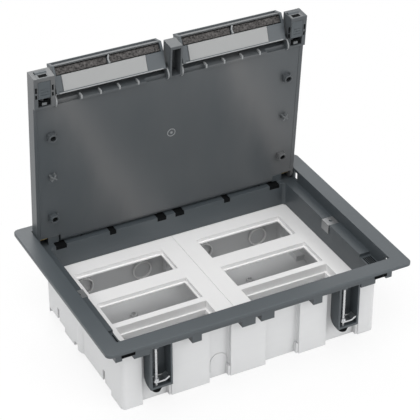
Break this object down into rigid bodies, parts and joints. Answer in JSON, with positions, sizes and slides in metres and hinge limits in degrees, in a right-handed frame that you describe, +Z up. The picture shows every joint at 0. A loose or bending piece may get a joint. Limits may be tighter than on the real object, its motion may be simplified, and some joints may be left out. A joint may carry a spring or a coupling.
{
  "type": "floor socket box",
  "caption": "Rectangular floor outlet box with a flanged frame, hinged lid with cable flaps, module frames and a plastic base.",
  "frame": {"origin": "centre of the base's underside, on the level of its feet", "axes": "+Z up, +Y towards the lid's hinge, +X along the long side"},
  "size_m": [0.34, 0.24, 0.2915],
  "materials": {
    "graphite_plastic": "satin moulded graphite plastic",
    "light_grey_plastic": "satin light grey plastic",
    "white_plastic": "satin white plastic",
    "pale_grey_plastic": "pale grey plate",
    "grey_foam": "open cell foam",
    "zinc_steel": "zinc plated steel",
    "brass": "plain brass"
  },
  "bodies": {
    "housing": {"frame": "graphite_plastic", "base_box": "light_grey_plastic", "module_frame_left": "white_plastic", "side_clip_left": "zinc_steel", "hinge_pin_left": "brass", "module_frame_right": "white_plastic", "side_clip_right": "zinc_steel", "hinge_pin_right": "brass"},
    "lid": {"lid_shell": "graphite_plastic", "lid_steel_plate": "zinc_steel", "lid_plate_screws": "zinc_steel", "latch_spring_left": "zinc_steel", "latch_spring_right": "zinc_steel"},
    "flap_left": {"cable_flap_left": "graphite_plastic", "flap_label_left": "pale_grey_plastic", "flap_foam_left": "grey_foam"},
    "latch_left": {"latch_left": "graphite_plastic"},
    "flap_right": {"cable_flap_right": "graphite_plastic", "flap_label_right": "pale_grey_plastic", "flap_foam_right": "grey_foam"},
    "latch_right": {"latch_right": "graphite_plastic"},
    "clamp_screw_front_left": {"clamp_screw_front_left": "zinc_steel"},
    "clamp_claw_front_left": {"clamp_claw_front_left": "zinc_steel"},
    "clamp_screw_front_right": {"clamp_screw_front_right": "zinc_steel"},
    "clamp_claw_front_right": {"clamp_claw_front_right": "zinc_steel"},
    "clamp_screw_back_left": {"clamp_screw_back_left": "zinc_steel"},
    "clamp_claw_back_left": {"clamp_claw_back_left": "zinc_steel"},
    "clamp_screw_back_right": {"clamp_screw_back_right": "zinc_steel"},
    "clamp_claw_back_right": {"clamp_claw_back_right": "zinc_steel"}
  },
  "joints": [
    {"name": "lid_hinge", "type": "hinge", "parent": "housing", "child": "lid", "pos_m": [0, 0.1013, 0.087], "axis": [1, 0, 0], "range_deg": [-4.5, 85.5]},
    {"name": "flap_left_hinge", "type": "hinge", "parent": "lid", "child": "flap_left", "pos_m": [0, 0.0915, 0.25996], "axis": [1, 0, 0], "range_deg": [-46, 24]},
    {"name": "latch_left_slide", "type": "slide", "parent": "lid", "child": "latch_left", "axis": [0, 0.0785, -0.9969], "range_m": [0, 0.003], "stiffness_N_per_m": 300, "springref_m": -0.004, "deforming": ["latch_spring_left"]},
    {"name": "flap_right_hinge", "type": "hinge", "parent": "lid", "child": "flap_right", "pos_m": [0, 0.0915, 0.25996], "axis": [1, 0, 0], "range_deg": [-46, 24]},
    {"name": "latch_right_slide", "type": "slide", "parent": "lid", "child": "latch_right", "axis": [0, 0.0785, -0.9969], "range_m": [0, 0.003], "stiffness_N_per_m": 300, "springref_m": -0.004, "deforming": ["latch_spring_right"]},
    {"name": "clamp_screw_front_left_turn", "type": "hinge", "parent": "housing", "child": "clamp_screw_front_left", "pos_m": [-0.1111, -0.1005, 0], "axis": [0, 0, 1], "range_deg": [-90, 0]},
    {"name": "clamp_claw_front_left_climb", "type": "slide", "parent": "clamp_screw_front_left", "child": "clamp_claw_front_left", "axis": [0, 0, 1], "range_m": [0, 0.038]},
    {"name": "clamp_screw_front_right_turn", "type": "hinge", "parent": "housing", "child": "clamp_screw_front_right", "pos_m": [0.1021, -0.1005, 0], "axis": [0, 0, 1], "range_deg": [-90, 0]},
    {"name": "clamp_claw_front_right_climb", "type": "slide", "parent": "clamp_screw_front_right", "child": "clamp_claw_front_right", "axis": [0, 0, 1], "range_m": [0, 0.038]},
    {"name": "clamp_screw_back_left_turn", "type": "hinge", "parent": "housing", "child": "clamp_screw_back_left", "pos_m": [-0.1021, 0.102, 0], "axis": [0, 0, 1], "range_deg": [-90, 0]},
    {"name": "clamp_claw_back_left_climb", "type": "slide", "parent": "clamp_screw_back_left", "child": "clamp_claw_back_left", "axis": [0, 0, 1], "range_m": [0, 0.038]},
    {"name": "clamp_screw_back_right_turn", "type": "hinge", "parent": "housing", "child": "clamp_screw_back_right", "pos_m": [0.1111, 0.102, 0], "axis": [0, 0, 1], "range_deg": [-90, 0]},
    {"name": "clamp_claw_back_right_climb", "type": "slide", "parent": "clamp_screw_back_right", "child": "clamp_claw_back_right", "axis": [0, 0, 1], "range_m": [0, 0.038]}
  ]
}
